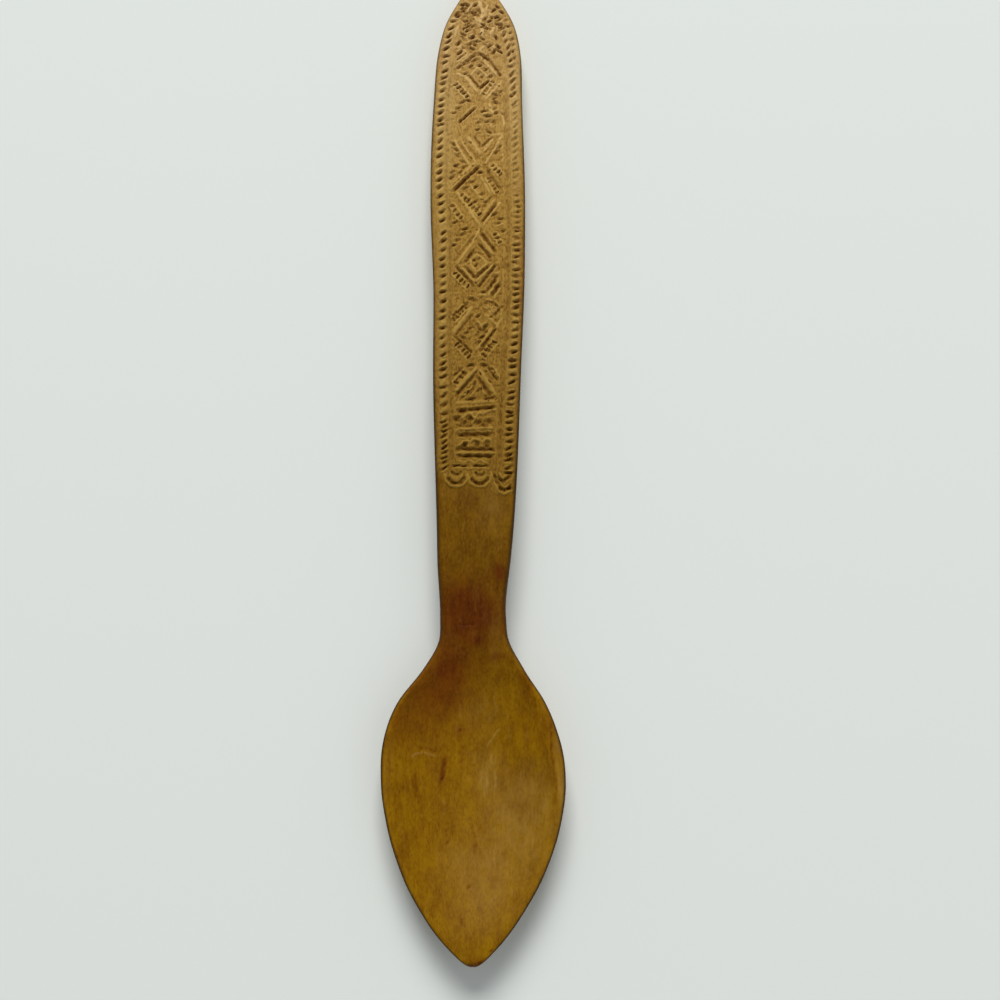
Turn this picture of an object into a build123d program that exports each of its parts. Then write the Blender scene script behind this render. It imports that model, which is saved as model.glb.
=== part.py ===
from build123d import *
import os
from math import atan2, cos, degrees, hypot, radians, sin, sqrt

os.makedirs("parts", exist_ok=True)

# A hand-carved wooden spoon lying on its back, hollow and carving up.
# Lengths are in millimetres. +Y runs to the handle end, +Z is up, and the
# origin lies on the table under the middle of the length.

# Lengths of the three regions, from the bowl tip to the handle end
BOWL_LENGTH = 71.0
NECK_LENGTH = 26.0
HANDLE_LENGTH = 131.0

# Bowl
BOWL_WIDTH = 38.4
BOWL_WIDEST = 36.5
BOWL_HEIGHT = 8.5
SHOULDER_SHARE = 0.63
TIP_WIDTH = 2.0
TIP_THICKNESS = 2.6
RIM_WIDTH = 1.4
RIM_ROUND = 0.5
RIM_SIDE = 0.8
KEEL_WIDTH = 4.0
REST_FLAT = 0.25
HOLLOW_DEPTH = 6.0
HOLLOW_START = 2.6
HOLLOW_HEEL = 6.0
HOLLOW_END_WIDTH = 3.0
HOLLOW_END_DEPTH = 0.5

# Neck
WAIST_WIDTH = 14.3
WAIST_TOP = 9.8
WAIST_THICKNESS = 6.8
WAIST_SIDE = 1.8
WAIST_KEEL_WIDTH = 6.0

# Handle
HANDLE_THICKNESS = 6.2
HANDLE_TILT = 2.2
FOOT_WIDTH = 17.2
HANDLE_WIDTH = 22.2
WIDEST_FROM_END = 58.0
ARCH_LENGTH = 25.0
ARCH_WIDTH = 20.8
END_RADIUS = 2.6
TOP_EDGE = 1.2
BACK_EDGE = 1.5

# Chip carving, placed from the foot of the handle
CUT_WIDTH = 0.8
CUT_DEPTH = 0.5
NOTCH_LENGTH = 1.7
NOTCH_INSET = 2.2
NOTCH_LEAN = 30.0
NOTCH_START = 9.0
NOTCH_END_MARGIN = 12.0
LEFT_NOTCH_PITCH = 2.05
RIGHT_NOTCH_PITCH = 1.65
LOZENGE_FIRST = 40.4
LOZENGE_PITCH = 16.3
LOZENGE_HEIGHT = 14.0
LOZENGE_WIDTH = 10.0
LOZENGE_END_MARGIN = 18.0
INNER_LOZENGE = 0.56
CORE_LENGTH = 1.8
FLANK_CHIPS = 4
FLANK_CHIP_LENGTH = 1.0
FLANK_GAP = 1.5
GABLE_FOOT = 23.0
GABLE_HEIGHT = 7.0
GABLE_WIDTH = 8.6
BAR_LENGTH = 7.8
BAR_HEIGHTS = (20.2, 16.0, 14.1, 10.5, 9.1, 6.9)
ZIGZAG_TEETH = 6
ZIGZAG_HEIGHT = 1.6
ZIGZAG_MIDDLES = (18.1, 12.3)
SCALLOP_MIDDLES = ((-4.3, 5.6), (1.0, 5.4), (6.0, 4.4))
SCALLOP_RADII = (2.5, 1.3)

# Pull of the handles of a cubic curve that follows a quarter ellipse
ROUND_PULL = 0.5523

# Places along the spoon, measured on Y
SPOON_LENGTH = BOWL_LENGTH + NECK_LENGTH + HANDLE_LENGTH
TIP_Y = -SPOON_LENGTH / 2
FOOT_Y = TIP_Y + BOWL_LENGTH + NECK_LENGTH
HOLLOW_END = BOWL_LENGTH - HOLLOW_HEEL

# The handle's back rests on the table at its rounded end and rises toward the neck
TILT_SINE = sin(radians(HANDLE_TILT))
TILT_COSINE = cos(radians(HANDLE_TILT))
CARVED_LENGTH = (HANDLE_LENGTH - (HANDLE_THICKNESS - TOP_EDGE) * TILT_SINE) / TILT_COSINE
FOOT_BACK = (CARVED_LENGTH - BACK_EDGE) * TILT_SINE + BACK_EDGE * (1 - TILT_COSINE)
FOOT_TOP = FOOT_BACK + HANDLE_THICKNESS / TILT_COSINE
HANDLE_WIDEST = CARVED_LENGTH - WIDEST_FROM_END
ARCH_START = CARVED_LENGTH - ARCH_LENGTH
handle_normal = (0, TILT_SINE, TILT_COSINE)
back_plane = Plane(origin=(0, FOOT_Y, FOOT_BACK), x_dir=(1, 0, 0), z_dir=handle_normal)
carved_plane = back_plane.offset(HANDLE_THICKNESS)

# The pointed arch of the handle end: two side arcs that a small arc joins
ARCH_REACH = ARCH_LENGTH - END_RADIUS
ARCH_HALF = ARCH_WIDTH / 2
ARCH_RADIUS = (ARCH_HALF**2 + ARCH_REACH**2 - END_RADIUS**2) / (2 * (ARCH_HALF - END_RADIUS))
ARCH_ANGLE = degrees(atan2(ARCH_REACH, ARCH_RADIUS - ARCH_HALF))


def quarter_wave(share):
    """Rise from 0 to 1 that starts steep and ends level."""
    return sin(radians(90 * share))


def quarter_bowl(share):
    """Rise from 0 to 1 that starts level and ends steep."""
    return 1 - cos(radians(90 * share))


def arc_drop(run, fall, at):
    """Fall of an arc that starts level and falls by `fall` over `run`."""
    radius = (run**2 + fall**2) / (2 * fall)
    return radius - sqrt(radius**2 - at**2)


def handle_half_width(along):
    """Half the handle's width at a distance from its foot."""
    if along <= HANDLE_WIDEST:
        return FOOT_WIDTH / 2 + (HANDLE_WIDTH - FOOT_WIDTH) / 2 * quarter_wave(along / HANDLE_WIDEST)
    if along <= ARCH_START:
        share = (along - HANDLE_WIDEST) / (ARCH_START - HANDLE_WIDEST)
        return HANDLE_WIDTH / 2 - (HANDLE_WIDTH - ARCH_WIDTH) / 2 * quarter_bowl(share)
    return ARCH_HALF - ARCH_RADIUS + sqrt(ARCH_RADIUS**2 - (along - ARCH_START) ** 2)


def spoon_half_width(along):
    """Half the width of the bowl and neck at a distance from the bowl tip."""
    bowl_half = BOWL_WIDTH / 2
    waist_half = WAIST_WIDTH / 2
    if along <= BOWL_WIDEST:
        return bowl_half - arc_drop(BOWL_WIDEST, (BOWL_WIDTH - TIP_WIDTH) / 2, BOWL_WIDEST - along)
    if along <= BOWL_LENGTH:
        fall = bowl_half - waist_half
        run = BOWL_LENGTH - BOWL_WIDEST
        turn = 2 * atan2(fall, run)
        shoulder_radius = SHOULDER_SHARE * run / sin(turn)
        throat_radius = run / sin(turn) - shoulder_radius
        if along - BOWL_WIDEST <= shoulder_radius * sin(turn):
            return bowl_half - shoulder_radius + sqrt(shoulder_radius**2 - (along - BOWL_WIDEST) ** 2)
        return waist_half + throat_radius - sqrt(throat_radius**2 - (BOWL_LENGTH - along) ** 2)
    share = (along - BOWL_LENGTH) / NECK_LENGTH
    return waist_half + (FOOT_WIDTH - WAIST_WIDTH) / 2 * share


def spoon_section(along):
    """Sizes of the bowl or neck at a distance from the bowl tip."""
    waist_back = WAIST_TOP - WAIST_THICKNESS
    half = spoon_half_width(along)
    if along <= BOWL_WIDEST:
        share = 1 - along / BOWL_WIDEST
        rise = quarter_bowl(share)
        back = -REST_FLAT + (BOWL_HEIGHT - TIP_THICKNESS + REST_FLAT) * rise
        keel = KEEL_WIDTH / 2 * half / (BOWL_WIDTH / 2)
        return half, BOWL_HEIGHT, back, RIM_ROUND, RIM_SIDE, keel
    if along <= BOWL_LENGTH:
        rise = quarter_bowl((along - BOWL_WIDEST) / (BOWL_LENGTH - BOWL_WIDEST))
        top = BOWL_HEIGHT + (WAIST_TOP - BOWL_HEIGHT) * rise
        back = -REST_FLAT + (waist_back + REST_FLAT) * rise
        edge = RIM_ROUND + (TOP_EDGE - RIM_ROUND) * rise
        side = RIM_SIDE + (WAIST_SIDE - RIM_SIDE) * rise
        keel = (KEEL_WIDTH + (WAIST_KEEL_WIDTH - KEEL_WIDTH) * rise) / 2
        return half, top, back, edge, side, keel
    share = (along - BOWL_LENGTH) / NECK_LENGTH
    rise = quarter_wave(share)
    top = WAIST_TOP + (FOOT_TOP - WAIST_TOP) * rise
    back = waist_back + (FOOT_BACK - waist_back) * rise
    foot_side = FOOT_TOP - FOOT_BACK - TOP_EDGE - BACK_EDGE
    side = WAIST_SIDE + (foot_side - WAIST_SIDE) * share
    keel = (WAIST_KEEL_WIDTH + (FOOT_WIDTH - 2 * BACK_EDGE - WAIST_KEEL_WIDTH) * share) / 2
    return half, top, back, TOP_EDGE, side, keel


def cross_plane(along):
    """Plane across the spoon at a distance from the bowl tip, with its Y up."""
    return Plane.XZ.offset(-(TIP_Y + along))


def groove(start, end):
    """A V-shaped knife cut from one point of the carved face to another."""
    run = (end[0] - start[0], end[1] - start[1])
    length = hypot(*run)
    slope = min(CUT_WIDTH, length / 2)
    sizes = (length + slope, 2 * CUT_DEPTH, 2 * CUT_WIDTH, slope, CUT_WIDTH, length, CUT_WIDTH)
    tool = Wedge(*sizes, rotation=(-90, 0, 0), mode=Mode.PRIVATE)
    middle = ((start[0] + end[0]) / 2, (start[1] + end[1]) / 2, 0)
    heading = (0, 0, degrees(atan2(run[1], run[0])))
    return carved_plane.location * Location(middle, heading) * tool


def stroke(middle, length, lean):
    """A short knife cut about its middle, leaning by an angle."""
    reach = (length / 2 * cos(radians(lean)), length / 2 * sin(radians(lean)))
    start = (middle[0] - reach[0], middle[1] - reach[1])
    end = (middle[0] + reach[0], middle[1] + reach[1])
    return groove(start, end)


def closed_cuts(corners):
    """Knife cuts along every side of a closed figure."""
    return [groove(a, b) for a, b in zip(corners, corners[1:] + corners[:1])]


def lozenge(middle, scale):
    """Corners of a lozenge about a point of the handle's middle line."""
    half_width = LOZENGE_WIDTH / 2 * scale
    half_height = LOZENGE_HEIGHT / 2 * scale
    return [(0, middle + half_height), (half_width, middle), (0, middle - half_height), (-half_width, middle)]


def flank_chips(middle):
    """Rows of short chips outside the four sides of a lozenge."""
    cuts = []
    lean = degrees(atan2(LOZENGE_HEIGHT, LOZENGE_WIDTH))
    for step in range(FLANK_CHIPS):
        share = (step + 1) / (FLANK_CHIPS + 1)
        x = LOZENGE_WIDTH / 2 * share + FLANK_GAP * sin(radians(lean))
        rise = LOZENGE_HEIGHT / 2 * (1 - share) + FLANK_GAP * cos(radians(lean))
        for side in (-1, 1):
            cuts.append(stroke((side * x, middle + rise), FLANK_CHIP_LENGTH, side * lean))
            cuts.append(stroke((side * x, middle - rise), FLANK_CHIP_LENGTH, -side * lean))
    return cuts


def notch_row(side, pitch):
    """A row of slanting notches that follows one edge of the handle."""
    row_length = CARVED_LENGTH - NOTCH_END_MARGIN - NOTCH_START
    cuts = []
    for step in range(int(row_length / pitch) + 1):
        along = NOTCH_START + step * pitch
        x = side * (handle_half_width(along) - NOTCH_INSET)
        cuts.append(stroke((x, along), NOTCH_LENGTH, NOTCH_LEAN))
    return cuts


def zigzag(middle):
    """A row of teeth across the handle, cut as slanting strokes."""
    step = BAR_LENGTH / ZIGZAG_TEETH
    half_height = ZIGZAG_HEIGHT / 2
    corners = []
    for tooth in range(ZIGZAG_TEETH + 1):
        height = middle + (half_height if tooth % 2 else -half_height)
        corners.append((tooth * step - BAR_LENGTH / 2, height))
    return [groove(a, b) for a, b in zip(corners, corners[1:])]


def quarter_round(start, corner, end):
    """A quarter of an ellipse that turns one corner."""
    first = tuple(a + ROUND_PULL * (c - a) for a, c in zip(start, corner))
    second = tuple(b + ROUND_PULL * (c - b) for b, c in zip(end, corner))
    return Bezier(start, first, second, end)


def draw_section(along):
    """Outline of the bowl or neck across the spoon, drawn right round."""
    half, top, back, edge, side, keel = spoon_section(along)
    low = top - edge - side
    with BuildSketch(cross_plane(along)) as section:
        with BuildLine():
            Line((edge - half, top), (half - edge, top))
            quarter_round((half - edge, top), (half, top), (half, top - edge))
            Line((half, top - edge), (half, low))
            quarter_round((half, low), (half, back), (keel, back))
            Line((keel, back), (-keel, back))
            quarter_round((-keel, back), (-half, back), (-half, low))
            Line((-half, low), (-half, top - edge))
            quarter_round((-half, top - edge), (-half, top), (edge - half, top))
        make_face()
    return section.sketch


def draw_hollow(along):
    """Outline across the hollow of the bowl, closed above the rim."""
    inner_half = BOWL_WIDTH / 2 - RIM_WIDTH
    reach = BOWL_WIDEST - HOLLOW_START if along < BOWL_WIDEST else HOLLOW_END - BOWL_WIDEST
    away = abs(along - BOWL_WIDEST)
    half = inner_half - arc_drop(reach, inner_half - HOLLOW_END_WIDTH / 2, away)
    depth = HOLLOW_DEPTH - (HOLLOW_DEPTH - HOLLOW_END_DEPTH) * quarter_bowl(away / reach)
    top = spoon_section(along)[1]
    lid = top + HOLLOW_DEPTH
    with BuildSketch(cross_plane(along)) as section:
        with BuildLine():
            Polyline((half, top), (half, lid), (-half, lid), (-half, top))
            quarter_round((-half, top), (-half, top - depth), (0, top - depth))
            quarter_round((0, top - depth), (half, top - depth), (half, top))
        make_face()
    return section.sketch


# Carved handle, in its own slanting plane
side_stations = [0.0, HANDLE_WIDEST / 3, HANDLE_WIDEST * 2 / 3, HANDLE_WIDEST]
side_stations += [(HANDLE_WIDEST + ARCH_START) / 2, ARCH_START]
cuts = notch_row(-1, LEFT_NOTCH_PITCH) + notch_row(1, RIGHT_NOTCH_PITCH)
column_length = CARVED_LENGTH - LOZENGE_END_MARGIN - LOZENGE_HEIGHT / 2 - LOZENGE_FIRST
for step in range(int(column_length / LOZENGE_PITCH) + 1):
    lozenge_middle = LOZENGE_FIRST + step * LOZENGE_PITCH
    cuts += closed_cuts(lozenge(lozenge_middle, 1))
    cuts += closed_cuts(lozenge(lozenge_middle, INNER_LOZENGE))
    cuts += flank_chips(lozenge_middle)
    cuts.append(stroke((0, lozenge_middle), CORE_LENGTH, 90))
gable_top = (0, GABLE_FOOT + GABLE_HEIGHT)
cuts += closed_cuts([gable_top, (GABLE_WIDTH / 2, GABLE_FOOT), (-GABLE_WIDTH / 2, GABLE_FOOT)])
for height in BAR_HEIGHTS:
    cuts.append(stroke((0, height), BAR_LENGTH, 0))
for middle in ZIGZAG_MIDDLES:
    cuts += zigzag(middle)

scallops = []
for radius in SCALLOP_RADII:
    with BuildPart() as scallop:
        with BuildSketch(Plane.XZ):
            with BuildLine():
                rims = ((radius - CUT_WIDTH, CUT_DEPTH), (radius + CUT_WIDTH, CUT_DEPTH))
                Polyline(*rims, (radius, -CUT_DEPTH), close=True)
            make_face()
        revolve(axis=Axis.Z, revolution_arc=180)
    for x, along in SCALLOP_MIDDLES:
        scallops.append(carved_plane.location * Location((x, along, 0), (0, 0, 180)) * scallop.part)

with BuildPart() as handle:
    with BuildSketch(back_plane):
        with BuildLine():
            heel = Line((0, -BACK_EDGE), (handle_half_width(-BACK_EDGE), -BACK_EDGE))
            side_points = [heel @ 1] + [(handle_half_width(s), s) for s in side_stations]
            flare = (handle_half_width(BACK_EDGE) - handle_half_width(-BACK_EDGE), 2 * BACK_EDGE)
            side_line = Spline(side_points, tangents=[flare, (0, 1)])
            arch = JernArc(start=side_line @ 1, tangent=(0, 1), radius=ARCH_RADIUS, arc_size=ARCH_ANGLE)
            JernArc(start=arch @ 1, tangent=arch % 1, radius=END_RADIUS, arc_size=90 - ARCH_ANGLE)
            mirror(about=Plane.YZ)
        make_face()
    extrude(amount=HANDLE_THICKNESS)
    across = Axis(back_plane.origin, back_plane.z_dir)
    top_face = faces().filter_by(across).sort_by(across)[-1]
    fillet(top_face.edges().filter_by(lambda edge: edge.center().Y > FOOT_Y), TOP_EDGE)
    back_face = faces().filter_by(across).sort_by(across)[0]
    fillet(back_face.edges().filter_by(lambda edge: edge.center().Y > FOOT_Y), BACK_EDGE)
    split(bisect_by=Plane.XZ.offset(-FOOT_Y), keep=Keep.BOTTOM)
    add(cuts, mode=Mode.SUBTRACT)
    add(scallops, mode=Mode.SUBTRACT)
handle.part.label = "handle"
export_step(handle.part, "parts/handle.step")

# Plain neck, from the handle's foot down to the waist
neck_stations = [BOWL_LENGTH + NECK_LENGTH * share for share in (1.0, 0.5, 0.0)]
with BuildPart() as neck:
    loft(sections=[draw_section(along) for along in neck_stations])
neck.part.label = "neck"
export_step(neck.part, "parts/neck.step")

# Bowl, with its hollow gouged out and its underside worn flat where it rests
shoulder_run = BOWL_LENGTH - BOWL_WIDEST
bowl_stations = [BOWL_WIDEST + shoulder_run * share for share in (1.0, 0.82, 0.64, 0.46, 0.22)]
bowl_stations += [BOWL_WIDEST * share for share in (1.0, 0.74, 0.47, 0.22, 0.07, 0.0)]
hollow_tip_run = BOWL_WIDEST - HOLLOW_START
hollow_heel_run = HOLLOW_END - BOWL_WIDEST
hollow_stations = [BOWL_WIDEST - hollow_tip_run * share for share in (1.0, 0.85, 0.6, 0.3, 0.0)]
hollow_stations += [BOWL_WIDEST + hollow_heel_run * share for share in (0.3, 0.6, 0.85, 1.0)]
with BuildPart() as hollow:
    loft(sections=[draw_hollow(along) for along in hollow_stations])
with BuildPart() as bowl:
    loft(sections=[draw_section(along) for along in bowl_stations])
    add(hollow.part, mode=Mode.SUBTRACT)
    split(bisect_by=Plane.XY, keep=Keep.TOP)
bowl.part.label = "bowl"
export_step(bowl.part, "parts/bowl.step")
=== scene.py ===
# %% [markdown]
# A spoon carved from one piece of wood, made ready for its picture.
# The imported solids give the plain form: handle, neck and bowl. The real spoon was cut with a
# knife and then used for years, so here the same form gets uneven outlines, chip carving,
# dents, grain, and the dark oil of the neck and bowl. Lengths are in millimetres on the spoon,
# and one factor turns them into Blender's metres.

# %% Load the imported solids
import math
import bpy
import numpy as np
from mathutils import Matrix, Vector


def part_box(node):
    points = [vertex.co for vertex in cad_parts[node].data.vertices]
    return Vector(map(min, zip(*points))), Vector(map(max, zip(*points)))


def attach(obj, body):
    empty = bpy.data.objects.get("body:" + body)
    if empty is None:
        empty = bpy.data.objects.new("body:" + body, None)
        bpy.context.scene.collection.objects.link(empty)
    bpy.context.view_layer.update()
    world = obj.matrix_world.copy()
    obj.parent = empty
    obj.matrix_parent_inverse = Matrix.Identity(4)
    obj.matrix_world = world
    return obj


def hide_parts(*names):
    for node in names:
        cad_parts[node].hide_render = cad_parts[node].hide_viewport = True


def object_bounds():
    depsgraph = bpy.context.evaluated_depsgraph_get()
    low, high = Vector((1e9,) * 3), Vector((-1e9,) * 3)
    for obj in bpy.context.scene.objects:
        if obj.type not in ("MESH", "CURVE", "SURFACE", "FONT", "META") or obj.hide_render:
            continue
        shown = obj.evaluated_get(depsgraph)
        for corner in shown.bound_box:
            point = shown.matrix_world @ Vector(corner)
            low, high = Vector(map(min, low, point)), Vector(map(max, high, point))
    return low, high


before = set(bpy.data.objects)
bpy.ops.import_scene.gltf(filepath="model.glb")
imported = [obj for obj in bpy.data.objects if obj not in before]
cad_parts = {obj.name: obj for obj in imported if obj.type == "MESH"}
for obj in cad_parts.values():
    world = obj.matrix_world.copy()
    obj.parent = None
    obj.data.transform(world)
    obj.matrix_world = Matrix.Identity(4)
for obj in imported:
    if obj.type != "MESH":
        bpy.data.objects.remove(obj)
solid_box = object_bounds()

MM = 0.001
SEED = 11
hand = np.random.default_rng(SEED)
size = [round(v / MM, 1) for v in solid_box[1] - solid_box[0]]
print("solids:", sorted(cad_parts), "size in mm:", size)

# %% [markdown]
# The outline seen from above. A turned or moulded spoon would be symmetric, and a mirror
# modifier would do. A carved one isn't, so a half width and a sideways sway are given at the few
# places where the outline turns, measured from the tip of the bowl, and a smooth curve runs
# through each set. The curve is drawn over an angle instead of a length, which makes both ends
# of the spoon round. Its length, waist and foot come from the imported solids.

# %% Smooth curves along the spoon
TIP_Y = round(solid_box[0].y / MM, 1)
LENGTH = round(solid_box[1].y / MM - TIP_Y, 1)
WAIST = round(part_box("neck")[0].y / MM - TIP_Y, 1)
FOOT = round(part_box("handle")[0].y / MM - TIP_Y, 1)


def smooth(points, at):
    place, value = np.array(points, float).T
    knot, turn = (np.arccos(np.clip(1 - 2 * b / LENGTH, -1, 1)) for b in (place, at))
    slope = np.gradient(value, knot)
    i = np.clip(np.searchsorted(knot, turn) - 1, 0, len(knot) - 2)
    gap = knot[i + 1] - knot[i]
    u = (turn - knot[i]) / gap
    start = (1 + 2 * u) * (1 - u) ** 2 * value[i] + u * (1 - u) ** 2 * gap * slope[i]
    return start + u * u * (3 - 2 * u) * value[i + 1] + u * u * (u - 1) * gap * slope[i + 1]


HALF_WIDTH = [(0, 0), (2, 3.4), (9, 9.5), (18, 14.7), (28, 18.1), (36, 19.3), (45, 18.6), (53, 15.6),
              (60, 10.7), (66, 7.5), (WAIST, 7.1), (84, 8.0), (117, 9.6), (145, 10.4), (170, 11.1),
              (196, 10.6), (208, 10.1), (216, 8.6), (222, 5.9), (LENGTH, 0)]
SWAY = [(0, 0), (8, -0.2), (36, -0.1), (53, -0.6), (62, -0.1), (74, -0.4), (92, 0.1), (128, 0.3),
        (146, 0.6), (165, 0.3), (185, 0.1), (215, 0.5), (LENGTH, 0.2)]
widest = 2 * smooth(HALF_WIDTH, np.linspace(0, 60, 200)).max()
print("widest place of the bowl:", round(widest, 1), "mm")

# %% [markdown]
# The side view. The face is level over the bowl, rises to the end of the neck and then slopes
# down along the flat handle. The back is a keel under the bowl. A side view could be drawn by
# hand too, but these are the same curves as those of the solids, so the picture and the solids
# agree from the side as well.

# %% Heights of the face and the back
FOOT_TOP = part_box("handle")[1].z / MM
THICKNESS = 6.2
SLOPE = math.tan(math.radians(2.2))
WIDEST = 36.5
RIM_TOP, WAIST_TOP = 8.5, 9.8
TIP_BACK, KEEL_BACK, WAIST_BACK = 5.9, -0.25, 3.0


def clamp(value):
    return np.clip(value, 0, 1)


def eased(share):
    return 1 - np.cos(np.pi / 2 * clamp(share))


def face_height(b):
    bowl = RIM_TOP + (WAIST_TOP - RIM_TOP) * eased((b - WIDEST) / (WAIST - WIDEST))
    neck = WAIST_TOP + (FOOT_TOP - WAIST_TOP) * (1 - eased(1 - (b - WAIST) / (FOOT - WAIST)))
    return np.select([b < WAIST, b < FOOT], [bowl, neck], FOOT_TOP - SLOPE * (b - FOOT))


def back_height(b):
    foot = FOOT_TOP - THICKNESS
    tip_side = KEEL_BACK + (TIP_BACK - KEEL_BACK) * eased(1 - b / WIDEST)
    heel = KEEL_BACK + (WAIST_BACK - KEEL_BACK) * eased((b - WIDEST) / (WAIST - WIDEST))
    neck = WAIST_BACK + (foot - WAIST_BACK) * (1 - eased(1 - (b - WAIST) / (FOOT - WAIST)))
    handle = foot - SLOPE * (b - FOOT)
    return np.select([b < WIDEST, b < WAIST, b < FOOT], [tip_side, heel, neck], handle)


print("face at tip, foot and end:", face_height(np.array([0.0, FOOT, LENGTH])).round(1))

# %% [markdown]
# A cross section is one closed ring of points: across the face, round the upper edge, down the
# side, round the belly and along the keel, and the same way back. Rings set one behind another
# make a skin, as in a loft. The three pieces share the same kind of ring, so where two of them
# meet the points coincide and no seam shows. No rounding takes more than a set share of a thin
# section, so the tip keeps its form.

# %% Rings of points
ACROSS = 104
ROUND, SIDE, BELLY, KEEL = 4, 2, 12, 3
END_ROUND, MOST_SHARE = 1.5, 0.4
EDGE_ROUND = [(0, 0.55), (45, 0.55), (WAIST, 1.6), (FOOT, 1.2)]
STRAIGHT_SIDE = [(0, 0.6), (50, 0.8), (WAIST, 1.8), (FOOT, 3.5)]
FLAT_SHARE = [(0, 0.4), (20, 0.15), (WIDEST, 0.1), (WAIST, 0.42), (FOOT, 0.83), (216, 0.86),
              (LENGTH, 0.6)]


def between(places, at):
    return np.interp(at, *zip(*places))


def spread(share, values):
    return np.asarray(values)[:, None] * share[None, :]


def rings(b, across=ACROSS):
    half, sway = smooth(HALF_WIDTH, b), smooth(SWAY, b)
    near_end = clamp(np.minimum(b, LENGTH - b) / END_ROUND)
    full = np.sqrt(1 - (1 - near_end) ** 2)
    middle = (face_height(b) + back_height(b)) / 2
    face = middle + (face_height(b) - middle) * full
    back = middle + (back_height(b) - middle) * full
    edge = np.minimum(between(EDGE_ROUND, b), MOST_SHARE * np.minimum(half, face - back))
    straight = np.minimum(between(STRAIGHT_SIDE, b) * full, MOST_SHARE * (face - back))
    flat_back = between(FLAT_SHARE, b) * half
    shoulder = face - edge - straight
    quarter = np.linspace(0, np.pi / 2, ROUND + 1)[1:]
    belly = np.linspace(0, np.pi / 2, BELLY + 1)[1:]
    x = [(half - edge)[:, None] + spread(np.sin(quarter), edge), spread(np.ones(SIDE), half),
         flat_back[:, None] + spread(np.cos(belly), half - flat_back),
         spread(1 - np.arange(1, KEEL + 1) / KEEL, flat_back)]
    z = [(face - edge)[:, None] + spread(np.cos(quarter), edge),
         (face - edge)[:, None] - spread(np.arange(1, SIDE + 1) / SIDE, straight),
         shoulder[:, None] - spread(np.sin(belly), shoulder - back), spread(np.ones(KEEL), back)]
    x, z = np.hstack(x), np.hstack(z)
    top_x = spread(np.linspace(-1, 1, across), half - edge)
    x = np.hstack([top_x, x, -x[:, -2::-1]]) + sway[:, None]
    z = np.hstack([spread(np.ones(across), face), z, z[:, -2::-1]])
    return x, np.maximum(z, 0.0)


print("points in a ring:", rings(np.array([50.0]))[0].shape[1])

# %% [markdown]
# Knife work. Each cut is a V-shaped groove along a short line. It could be cut from the mesh
# with a boolean, but several hundred booleans are slow and leave thin faces. The face is a fine
# grid of points instead, and each point sinks by the depth of the deepest cut over it. The blade
# pushes up a small lip on both sides of a cut. No line is quite straight or even, so the place
# of each point wanders a little before its distance to a cut is measured. A cut with a negative
# depth is a ridge that was left standing.

# %% Cutting grooves into the face
# A lip's place and reach and the bluntness of the bottom are in half widths of the cut.
LIP, LIP_PLACE, LIP_REACH = 0.3, 1.5, 0.55
BLUNT, RIDGE_FLANK = 0.12, 1.9
END_DEPTH, END_SLOPE = 0.45, 1.1
WANDER, WANDER_SIZE = 0.1, 2.6
UNEVEN, UNEVEN_SIZE = 0.25, 1.8
SEARCH = 1.2
WAVES, WAVE_RANGE = 6, (0.6, 1.4)


def ripple(x, v, size, height):
    total = np.zeros_like(x)
    for n in range(WAVES):
        across, along = hand.uniform(*WAVE_RANGE, 2) / size
        turns = across * x + along * v * (-1) ** n + hand.uniform()
        total += np.sin(2 * np.pi * turns)
    return height / (WAVES / 2) * total


def knife(x, v, cuts, lip=LIP):
    depth = np.zeros_like(x)
    rows = v[:, 0]
    uneven = 1 + ripple(x, v, UNEVEN_SIZE, UNEVEN)
    x, v = x + ripple(x, v, WANDER_SIZE, WANDER), v + ripple(x, v, WANDER_SIZE, WANDER)
    for x0, v0, x1, v1, width, deep in cuts:
        reach = SEARCH * width + WANDER
        first, last = np.searchsorted(rows, [min(v0, v1) - reach, max(v0, v1) + reach])
        if first == last:
            continue
        run = np.array([x1 - x0, v1 - v0])
        length = max(np.hypot(*run), 0.01)
        px, pv = x[first:last] - x0, v[first:last] - v0
        t = clamp((px * run[0] + pv * run[1]) / length**2)
        away = np.hypot(px - t * run[0], pv - t * run[1]) / (width / 2)
        taper = clamp(END_DEPTH + END_SLOPE * np.minimum(t, 1 - t) * length / width)
        groove = clamp(1 + BLUNT - np.sqrt(away**2 + BLUNT**2))
        groove = groove - lip * clamp(1 - np.abs(away - LIP_PLACE) / LIP_REACH)
        band = clamp(RIDGE_FLANK * (1 - away))
        change = deep * taper * uneven[first:last] * (groove if deep > 0 else band)
        old = depth[first:last]
        depth[first:last] = np.where(np.abs(change) > np.abs(old), change, old)
    return depth


SLIP, SLIP_DEGREES = 0.09, 9
WIDTH_RANGE, DEPTH_RANGE = (0.85, 1.1), (0.75, 1.1)


def chip(x, v, lean, length=1.3, width=0.8, deep=0.48):
    lean = math.radians(lean + hand.normal(0, SLIP_DEGREES))
    x, v = x + hand.normal(0, SLIP), v + hand.normal(0, SLIP)
    dx, dv = length / 2 * math.cos(lean), length / 2 * math.sin(lean)
    width, deep = width * hand.uniform(*WIDTH_RANGE), deep * hand.uniform(*DEPTH_RANGE)
    return x - dx, v - dv, x + dx, v + dv, width, deep


def line(*points, width=0.8, deep=0.45):
    return [(*a, *b, width, deep) for a, b in zip(points, points[1:])]


print("one chip:", [round(v, 2) for v in chip(0, 50, 30)])

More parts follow.
